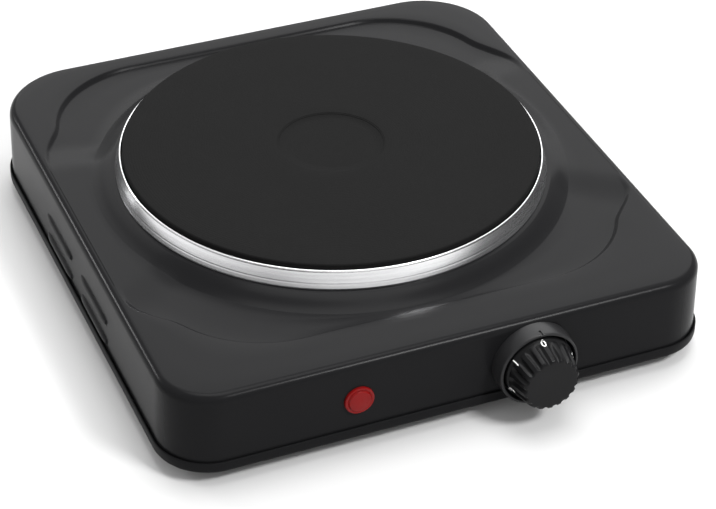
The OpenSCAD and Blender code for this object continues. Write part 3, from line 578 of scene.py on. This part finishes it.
def hood_shape(side, x, y, z, radius, length, blunt):
    """A pressed hood: round in section, its two ends drawn down into the wall."""
    verts = []
    count, rows = 20, 15
    cx = x - side * (LOUVRE_R - LOUVRE_BULGE)
    for j in range(rows):
        u = -1 + 2 * j / (rows - 1)
        swell = (1 - abs(u) ** blunt) ** 0.5 if abs(u) < 1 else 0.0
        r = radius * max(swell, 0.12)
        for i in range(count):
            a = 2 * math.pi * i / count
            verts.append((cx + r * math.cos(a), y + u * length / 2, z + r * math.sin(a)))
    faces = ring_faces(count, rows, False)
    faces.append(tuple(range(count)))
    faces.append(tuple(range((rows - 1) * count, rows * count)))
    return verts, faces


def press_louvre(shell, side, x, y, z):
    """Adds a hood to the wall, hollows it and cuts its mouth on the underside."""
    hood = loose_mesh("hood", *hood_shape(side, x, y, z, LOUVRE_R, LOUVRE_L, 8))
    join_or_cut(shell, hood, "UNION")
    hollow = loose_mesh("hollow", *hood_shape(
        side, x - side * 0.2 * MM, y, z - 0.3 * MM,
        LOUVRE_R - SHEET, LOUVRE_L - 2 * SHEET, 10))
    join_or_cut(shell, hollow, "DIFFERENCE")
    half = LOUVRE_L / 2 - SHEET
    mouth = box_tool(sorted((x + side * 0.1 * MM, x + side * 3 * MM)),
                     (y - half, y + half), (z - LOUVRE_R, z - 0.2 * MM))
    join_or_cut(shell, mouth, "DIFFERENCE")


def housing():
    loops = pressed_surface(0) + list(reversed(pressed_surface(SHEET)))
    verts = [v for loop in loops for v in loop]
    shell = loose_mesh("pressed_housing", verts, ring_faces(len(TURN), len(loops), True))
    for side, x, y, z in louvre_places():
        press_louvre(shell, side, x, y, z)
    reach = 4 * MM
    for x, y, z, radius in ((KNOB_X, FRONT_Y, KNOB_Z, SHAFT_HOLE_R),
                            (LENS_X, FRONT_Y, LENS_Z, LENS_HOLE_R),
                            (GLAND_X, shell_high.y, GLAND_Z, GLAND_HOLE_R)):
        hole = round_tool(Vector((x, 0, z)), y - reach, y + reach, radius, "y", 96)
        join_or_cut(shell, hole, "DIFFERENCE")
    dress(shell, "root", enamel, ["housing"], 30)


# ---- base tray: a flat pan with a rolled lip ----------------------------

PAN_BEND = 1.8 * MM
PAN_FLOOR_CUT = (RIM_Z - 2 * MM, RIM_Z + 3 * MM)     # right through the pan's floor
VENT_PLACES = [(side * 42 * MM, MIDDLE.y + k * 10 * MM)
               for side in (-1, 1) for k in range(-2, 3)]
SCREW_PLACES = [(sx * (WALL_HW - 17.5 * MM), MIDDLE.y + sy * (WALL_HD - 18 * MM))
                for sx in (-1, 1) for sy in (-1, 1)]


def pan_section():
    """(inset, height) points: up the outside, over the rolled lip, down the inside."""
    roll = SHEET / 2
    inner = PAN_BEND - SHEET
    section = [(PAN_BEND - PAN_BEND * math.sin(a), RIM_Z + PAN_BEND - PAN_BEND * math.cos(a))
               for a in (0, 0.4, 0.8, 1.2, math.pi / 2)]
    section += [(roll - roll * math.cos(a), LIP_TOP - roll + roll * math.sin(a))
                for a in (0, 0.5, 1.0, math.pi / 2, 2.1, 2.6, math.pi)]
    section += [(PAN_BEND - inner * math.cos(a), RIM_Z + PAN_BEND - inner * math.sin(a))
                for a in (0, 0.5, 1.0, math.pi / 2)]
    return section


def pan_loop(inset, z):
    hw = (tray_high.x - tray_low.x) / 2 - inset
    hd = (tray_high.y - tray_low.y) / 2 - inset
    clear = SHEET + SEAM - inset
    return [at(t, rounded_reach(t, hw, hd, (FRONT_R if math.sin(t) < 0 else BACK_R) + clear),
               z) for t in TURN]


def vent_tool(x, y):
    """A slot with round ends, 30 mm between their middles."""
    half, r = 15 * MM, 2 * MM
    outline = [(x + end * half + r * math.cos(a + turn), y + r * math.sin(a + turn))
               for end, turn in ((1, -math.pi / 2), (-1, math.pi / 2))
               for a in [k * math.pi / 8 for k in range(9)]]
    count = len(outline)
    faces = ring_faces(count, 2, False)
    faces += [tuple(range(count)), tuple(range(count, 2 * count))]
    return loose_mesh("slot", [(a, b, z) for z in PAN_FLOOR_CUT for a, b in outline], faces)


def base_tray():
    section = pan_section()
    verts = [v for inset, z in section for v in pan_loop(inset, z)]
    faces = ring_faces(len(TURN), len(section), False)
    last = (len(section) - 1) * len(TURN)
    faces.append(tuple(range(len(TURN))))
    faces.append(tuple(range(last, last + len(TURN))))
    pan = loose_mesh("steel_base_tray", verts, faces)
    for x, y in VENT_PLACES:
        join_or_cut(pan, vent_tool(x, y), "DIFFERENCE")
    for x, y in SCREW_PLACES:
        hole = round_tool(Vector((x, y, 0)), *PAN_FLOOR_CUT, SCREW_HOLE_R, "z", 32)
        join_or_cut(pan, hole, "DIFFERENCE")
    dress(pan, "root", tray_paint, ["base_tray"], 30)


# ---- plate and ring -----------------------------------------------------

def hot_plate():
    """One casting: a shallow round recess on top, a deep well for the heater and
    a threaded boss in the middle underneath."""
    low = plate_low.z
    recess_r = 24 * MM
    recess_z = PLATE_TOP - 0.6 * MM
    section = [(r * MM, recess_z) for r in (0, 4, 9, 14, 19)]
    section += arc(recess_r - 1.0 * MM, recess_z + 0.35 * MM, 0.35 * MM, -60, -10, 4)
    section += arc(recess_r + 0.1 * MM, PLATE_TOP - 0.25 * MM, 0.25 * MM, 160, 90, 4)
    section += [(r * MM, PLATE_TOP) for r in (30, 45, 60, 75, 86)]
    edge = 0.9 * MM
    section += arc(PLATE_R - edge, PLATE_TOP - edge, edge, 90, 0, 7)
    seat = ring_low.z + 0.6 * MM
    well = PLATE_R - 5 * MM
    section += [(PLATE_R, seat + 0.5 * MM), (PLATE_R - 0.5 * MM, seat), (well, seat)]
    section += [(well, low + 0.6 * MM), (well - 0.6 * MM, low)]
    well_wall, well_top = 7.5 * MM, PLATE_TOP - 9 * MM
    section += [(well - well_wall, low), (well - well_wall, well_top)]
    boss_r, boss_foot = 10 * MM, PLATE_TOP - 17 * MM
    bore_r, bore_top = 3 * MM, PLATE_TOP - 11 * MM
    section += [(boss_r, well_top), (boss_r, boss_foot), (bore_r, boss_foot),
                (bore_r, bore_top), (0, bore_top)]
    plate = loose_mesh("cast_iron_plate", *lathe(section, PLATE_MIDDLE, "z", 256))
    dress(plate, "root", iron, ["hot_plate"], 40)


def trim_ring():
    """Rolled strip: a flat foot, a cone with a fine crease, and a beaded top."""
    sheet = 0.6 * MM
    foot = ring_low.z
    foot_in_r = PLATE_R - 4.7 * MM
    top_r = RING_BASE_R - 2.6 * MM
    heel = 0.3 * MM
    section = [(foot_in_r, foot), (RING_BASE_R - heel, foot)]
    section += arc(RING_BASE_R - heel, foot + heel, heel, -60, 0, 3)
    # The cone, in short steps so that it shades evenly
    low = Vector((RING_BASE_R, foot + 0.7 * MM))
    high = Vector((top_r + 0.5 * MM, RING_TOP - 0.9 * MM))
    crease_step, crease = 7, 0.03 * MM
    for k in range(25):
        spot = low.lerp(high, k / 24)
        section.append((spot.x - (crease if k == crease_step else 0), spot.y))
    bead = 0.45 * MM
    section += arc(top_r + 0.05 * MM, RING_TOP - bead, bead, 20, 160, 7)
    inside_r = RING_BASE_R - sheet - 0.1 * MM
    section += [(top_r - sheet, RING_TOP - 1.2 * MM), (inside_r, foot + 1.5 * MM),
                (inside_r, foot + sheet), (foot_in_r, foot + sheet)]
    ring = loose_mesh("stainless_trim_ring", *lathe(section, PLATE_MIDDLE, "z", 256))
    dress(ring, "root", polished_strip, ["trim_ring"], 40)


# ---- bezel, knob and dial -----------------------------------------------

KNOB_AXIS = Vector((KNOB_X, 0, KNOB_Z))
KNOB_FACE = knob_low.y
FLUTES = 18
FLUTE_DEPTH = 1.0 * MM
GRIP_R = 12.6 * MM
CONE_R = SKIRT_R - 0.9 * MM
SKIRT_FRONT = BEZEL_FRONT - 0.8 * MM
SHELL_MOUTH = (SKIRT_R - 1.8 * MM, FRONT_Y - 3.5 * MM)    # radius and y of the knob's open end


def bezel_ring():
    """A cup with a rounded rim, notched at the top and cut to clear the tray."""
    front = BEZEL_FRONT
    inner_r = BEZEL_R - 1.6 * MM
    back = FRONT_Y - 1.2 * MM
    rim = 0.8 * MM
    section = [(SHAFT_HOLE_R, FRONT_Y), (BEZEL_R, FRONT_Y), (BEZEL_R, FRONT_Y - 1.0 * MM),
               (BEZEL_R - 0.3 * MM, front + rim)]
    section += [(BEZEL_R - 1.1 * MM + rim * math.cos(a), front + rim - rim * math.sin(a))
                for a in (0.3, 0.6, 0.9, 1.2, math.pi / 2)]
    section += [(inner_r + 0.2 * MM, front), (inner_r, front + 0.3 * MM), (inner_r, back),
                (SHAFT_HOLE_R, back)]
    ring = loose_mesh("moulded_bezel_ring", *lathe(section, KNOB_AXIS, "y", 160))
    notch = box_tool((KNOB_X - 0.5 * MM, KNOB_X + 0.5 * MM),
                     (front - 1 * MM, front + 3 * MM),
                     (KNOB_Z + BEZEL_R - 0.75 * MM, KNOB_Z + BEZEL_R + 1 * MM))
    join_or_cut(ring, notch, "DIFFERENCE")
    tray_clearance = box_tool((KNOB_X - 30 * MM, KNOB_X + 30 * MM),
                              (tray_low.y - 0.2 * MM, FRONT_Y + 5 * MM),
                              (0, LIP_TOP + 0.2 * MM))
    join_or_cut(ring, tray_clearance, "DIFFERENCE")
    dress(ring, "root", bezel_plastic, ["bezel_ring"], 40)


def knob_outside():
    """(radius, y, share of the flutes' depth) rows, from the open end to the face."""
    back = knob_high.y
    length = SKIRT_FRONT - KNOB_FACE
    rows = [(*SHELL_MOUTH, 0), (SKIRT_R - 1.6 * MM, back, 0),
            (SKIRT_R - 0.2 * MM, back, 0), (SKIRT_R, back - 0.3 * MM, 0),
            (SKIRT_R, SKIRT_FRONT + 1.7 * MM, 0),
            (SKIRT_R - 0.12 * MM, SKIRT_FRONT + 1.1 * MM, 0),
            (SKIRT_R - 0.45 * MM, SKIRT_FRONT + 0.5 * MM, 0),
            (CONE_R, SKIRT_FRONT, 0), (CONE_R - 0.05 * MM, SKIRT_FRONT - 0.3 * MM, 0),
            (CONE_R - 0.1 * MM, SKIRT_FRONT - 0.6 * MM, 0.15)]
    rows += [(CONE_R + (GRIP_R - CONE_R) * share, SKIRT_FRONT - length * share, bite)
             for share, bite in ((0.12, 0.6), (0.2, 0.85), (0.35, 1), (0.6, 1), (0.8, 1))]
    rows += [(GRIP_R, KNOB_FACE + 1.1 * MM, 1),
             (GRIP_R - 0.15 * MM, KNOB_FACE + 0.6 * MM, 1),
             (GRIP_R - 0.5 * MM, KNOB_FACE + 0.2 * MM, 0.9),
             (GRIP_R - 1.1 * MM, KNOB_FACE + 0.02 * MM, 0.35),
             (GRIP_R - 1.7 * MM, KNOB_FACE, 0), (GRIP_R * 0.6, KNOB_FACE + 0.06 * MM, 0),
             (GRIP_R * 0.3, KNOB_FACE + 0.09 * MM, 0), (0, KNOB_FACE + 0.1 * MM, 0)]
    return rows


def knob_inside():
    """A hollow under the skirt, and the hub that grips the shaft."""
    roof, hub_end, bore_end = KNOB_FACE + 1.8 * MM, FRONT_Y - 4.9 * MM, KNOB_FACE + 4 * MM
    hub_r, bore_r = 5 * MM, 3 * MM
    return [(*SHELL_MOUTH, 0), (GRIP_R - 2.2 * MM, roof, 0), (hub_r, roof, 0),
            (hub_r, hub_end, 0), (bore_r, hub_end, 0), (bore_r, bore_end, 0),
            (0, bore_end, 0)]


def knob():
    """Skirt, fluted taper and a plain round face, drawn as one loft."""
    per_flute = 16
    count = FLUTES * per_flute
    verts = []

    def loft_row(radius, y, bite):
        """Adds one row of points, hollowed at each flute, and gives their numbers."""
        first = len(verts)
        for i in range(count if radius else 1):
            a = 2 * math.pi * i / count
            u = (i % per_flute) / per_flute
            hollow = max(0.0, 1 - ((u - 0.5) / 0.3) ** 2)
            r = radius - FLUTE_DEPTH * bite * hollow
            verts.append(KNOB_AXIS + Vector((r * math.sin(a), y, r * math.cos(a))))
        return list(range(first, len(verts)))

    outside = [loft_row(*row) for row in knob_outside()]
    inside = [outside[0]] + [loft_row(*row) for row in knob_inside()[1:]]
    faces = skin(outside, count) + skin(inside, count)
    body = loose_mesh("moulded_knob", verts, faces)
    dress(body, "knob", phenolic, ["knob"], 45)


DIAL_NUMBERS = "012345"
DIAL_SWEEP = 285                       # degrees from the first number to the last
DIAL_HEIGHT = 4.6 * MM


def dial_number(text, degrees):
    """A number printed on the skirt, at so many degrees clockwise from the top."""
    curve = bpy.data.curves.new("dial_" + text, "FONT")
    curve.body = text
    curve.size = DIAL_HEIGHT
    curve.align_x = "CENTER"
    curve.align_y = "CENTER"
    curve.offset = 0.012 * DIAL_HEIGHT
    curve.resolution_u = 4
    label = bpy.data.objects.new("dial_" + text, curve)
    bpy.context.scene.collection.objects.link(label)
    bpy.context.view_layer.update()
    flat = bpy.data.meshes.new_from_object(
        label.evaluated_get(bpy.context.evaluated_depsgraph_get()))
    bpy.data.objects.remove(label)
    work = bmesh.new()
    work.from_mesh(flat)
    bmesh.ops.triangulate(work, faces=work.faces)
    bmesh.ops.subdivide_edges(work, edges=work.edges, cuts=1)
    ink = 0.05 * MM
    made = bmesh.ops.extrude_face_region(work, geom=work.faces[:])
    top = {v for v in made["geom"] if isinstance(v, bmesh.types.BMVert)}
    # Wrap the flat number on the skirt's shoulder: x runs round, y runs back to front
    number_y = SKIRT_FRONT - 1.0 * MM
    taper = (GRIP_R - CONE_R) / (SKIRT_FRONT - KNOB_FACE)
    for v in work.verts:
        along = number_y + v.co.y
        radius = CONE_R + taper * max(0.0, SKIRT_FRONT - along)
        if along > SKIRT_FRONT:
            radius = CONE_R + min(SKIRT_R - CONE_R, (along - SKIRT_FRONT) * 0.75)
        radius += ink if v in top else -ink
        a = math.radians(degrees) + v.co.x / CONE_R
        v.co = KNOB_AXIS + Vector((radius * math.sin(a), along, radius * math.cos(a)))
    work.to_mesh(flat)
    work.free()
    piece = bpy.data.objects.new("dial_number_" + text, flat)
    bpy.context.scene.collection.objects.link(piece)
    dress(piece, "knob", white_ink)

def dial():
    for place, number in enumerate(DIAL_NUMBERS):
        dial_number(number, -place * DIAL_SWEEP / (len(DIAL_NUMBERS) - 1))


# ---- indicator lamp -----------------------------------------------------

def lamp_lens():
    """A shallow domed cap with a rim, and the barrel that holds it in the wall."""
    front = FRONT_Y
    barrel_r = LENS_R - 1.1 * MM
    hollow_r = barrel_r - 1 * MM
    section = [(0, front - 2.1 * MM)]
    section += [(LENS_R * k, front - 1.35 * MM - 0.75 * MM * (1 - k * k))
                for k in (0.15, 0.3, 0.45, 0.6, 0.72)]
    section += [(LENS_R * 0.78, front - 1.05 * MM), (LENS_R * 0.82, front - 1.15 * MM)]
    section += [(LENS_R - 0.5 * MM, front - 1.2 * MM), (LENS_R - 0.15 * MM, front - 1.0 * MM),
                (LENS_R, front - 0.6 * MM), (LENS_R, front), (barrel_r, front)]
    section += [(barrel_r, lens_high.y), (hollow_r, lens_high.y),
                (hollow_r, front + 0.2 * MM), (0, front - 0.2 * MM)]
    lens = loose_mesh("red_lamp_lens", *lathe(section, Vector((LENS_X, 0, LENS_Z)), "y", 96))
    dress(lens, "root", red_plastic, ["lamp_lens"], 25)


# ---- studio -------------------------------------------------------------

def floor():
    """Matt white paper, wide enough to fill every view: pale, with no shine."""
    half = 6.0
    paper, tree, surface, place = new_material("matt white paper", Roughness=0.9,
                                               Specular_IOR_Level=0.1)
    fibre = add_node(tree, "ShaderNodeTexNoise", {"Vector": place}, Scale=3.0)
    tint = add_node(tree, "ShaderNodeMix", {"Factor": fibre.outputs["Fac"],
                                            6: linear("#cfcfcf"), 7: linear("#cbcbcb")},
                    data_type="RGBA")
    tree.links.new(tint.outputs[2], surface.inputs["Base Color"])
    mesh = bpy.data.meshes.new("floor")
    mesh.from_pydata([(-half, -half, 0), (half, -half, 0), (half, half, 0),
                      (-half, half, 0)], [], [(0, 1, 2, 3)])
    mesh.materials.append(paper)
    sheet = bpy.data.objects.new("floor", mesh)
    bpy.context.scene.collection.objects.link(sheet)


def add_light(name, kind, power):
    lamp = bpy.data.lights.new(name, kind)
    lamp.energy = power
    light = bpy.data.objects.new(name, lamp)
    bpy.context.scene.collection.objects.link(light)
    return light


def facing(direction):
    return Vector(direction).to_track_quat("-Z", "Y").to_euler()


def soft_light(name, place, aim, width, height, power):
    """A panel of light at place, facing aim; metres and watts."""
    light = add_light(name, "AREA", power)
    light.data.shape = "RECTANGLE"
    light.data.size = width
    light.data.size_y = height
    light.location = place
    light.rotation_euler = facing(Vector(aim) - Vector(place))


def lights():
    world = bpy.data.worlds.new("studio")
    world.use_nodes = True
    walls = world.node_tree.nodes["Background"]
    walls.inputs["Color"].default_value = linear("#ffffff")
    walls.inputs["Strength"].default_value = 0.75
    bpy.context.scene.world = world
    # A broad overhead light, from the right and behind
    overhead = add_light("overhead", "SUN", 0.5)
    overhead.data.angle = math.radians(50)
    overhead.rotation_euler = facing((-0.42, -0.5, -1))
    # The panel that the flat top mirrors, and one for each bright edge
    soft_light("back_panel", (0.56, 1.3, 1.03), (0, 0, 0), 1.9, 1.2, 15)
    soft_light("top_panel", (0.1, 0.1, 1.5), (0, 0, 0), 1.0, 0.7, 13)
    soft_light("left_edge", (-1.05, 1.3, 0.6), (0, 0, 0.04), 0.26, 0.2, 6)
    soft_light("front_edge", (0.55, -0.95, 1.2), (0, 0, 0.04), 0.35, 0.25, 18)


def camera():
    """Stands in front, to the left and above, with a long lens."""
    azimuth, elevation, roll = (math.radians(a) for a in (-23.205, 35.993, 0.951))
    stand = Vector((-338.0, -815.7, 634.1 + RIM_Z / MM)) * MM     # from the body's middle
    back = Vector((math.sin(azimuth) * math.cos(elevation),
                   -math.cos(azimuth) * math.cos(elevation), math.sin(elevation)))
    right = (-back).cross(Vector((0, 0, 1))).normalized()
    up = right.cross(-back)
    across = math.cos(roll) * right + math.sin(roll) * up
    above = math.cos(roll) * up - math.sin(roll) * right
    lens = bpy.data.cameras.new("camera")
    lens.sensor_width = 36
    lens.lens = 120.4
    lens.clip_start = 0.01
    eye = bpy.data.objects.new("camera", lens)
    bpy.context.scene.collection.objects.link(eye)
    turn = Matrix((across, above, back)).transposed().to_4x4()
    eye.matrix_world = Matrix.Translation(MIDDLE + stand) @ turn
    bpy.context.scene.camera = eye


# ---- everything, in order -----------------------------------------------

dress_cad_pieces()
housing()
base_tray()
hot_plate()
trim_ring()
bezel_ring()
knob()
dial()
lamp_lens()
floor()
lights()
camera()
bpy.context.scene.view_settings.view_transform = "Standard"
